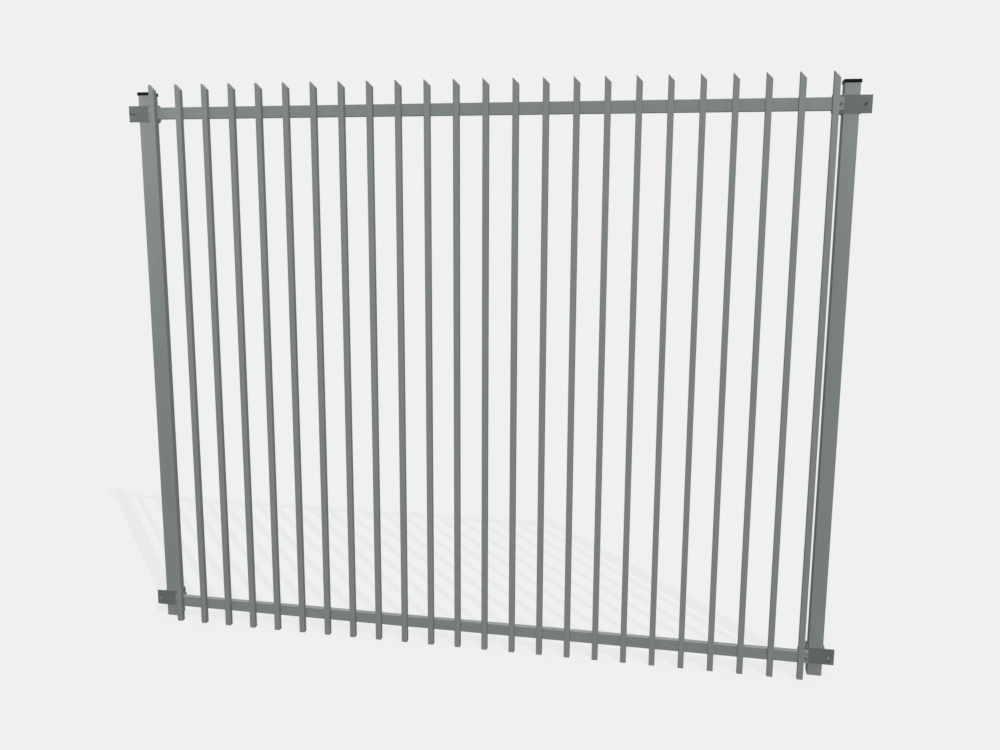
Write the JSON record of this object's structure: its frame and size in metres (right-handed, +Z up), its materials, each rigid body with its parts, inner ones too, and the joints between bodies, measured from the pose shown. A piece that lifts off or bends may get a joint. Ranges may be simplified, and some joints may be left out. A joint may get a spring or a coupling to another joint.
{
  "type": "palisade fence panel",
  "caption": "Steel palisade fence panel: slant-topped square pales on two rails, hung by collar brackets between two capped square posts.",
  "frame": {"origin": "middle of the panel's length and depth, on the ground under the posts and pales", "axes": "+X along the fence, +Y from the pale side to the post side, +Z up"},
  "size_m": [3.156, 0.12, 2.495],
  "materials": {
    "coated_steel": "satin",
    "bracket_steel": "satin",
    "cap_plastic": "matte",
    "zinc_steel": "satin"
  },
  "bodies": {
    "root": {"pale_01": "coated_steel", "pale_02": "coated_steel", "pale_03": "coated_steel", "pale_04": "coated_steel", "pale_05": "coated_steel", "pale_06": "coated_steel", "pale_07": "coated_steel", "pale_08": "coated_steel", "pale_09": "coated_steel", "pale_10": "coated_steel", "pale_11": "coated_steel", "pale_12": "coated_steel", "pale_13": "coated_steel", "pale_14": "coated_steel", "pale_15": "coated_steel", "pale_16": "coated_steel", "pale_17": "coated_steel", "pale_18": "coated_steel", "pale_19": "coated_steel", "pale_20": "coated_steel", "pale_21": "coated_steel", "pale_22": "coated_steel", "pale_23": "coated_steel", "pale_24": "coated_steel", "pale_tips": "coated_steel", "bottom_rail": "coated_steel", "top_rail": "coated_steel", "left_post": "coated_steel", "right_post": "coated_steel", "bottom_rail_welds": "coated_steel", "top_rail_welds": "coated_steel", "bottom_left_bracket_plate": "bracket_steel", "bottom_right_bracket_plate": "bracket_steel", "top_left_bracket_plate": "bracket_steel", "top_right_bracket_plate": "bracket_steel", "bottom_left_post_strap": "bracket_steel", "bottom_right_post_strap": "bracket_steel", "top_left_post_strap": "bracket_steel", "top_right_post_strap": "bracket_steel", "bracket_welds": "bracket_steel", "left_post_cap": "cap_plastic", "right_post_cap": "cap_plastic", "panel_studs": "zinc_steel", "neighbour_studs": "zinc_steel", "panel_nuts": "zinc_steel"}
  },
  "joints": []
}
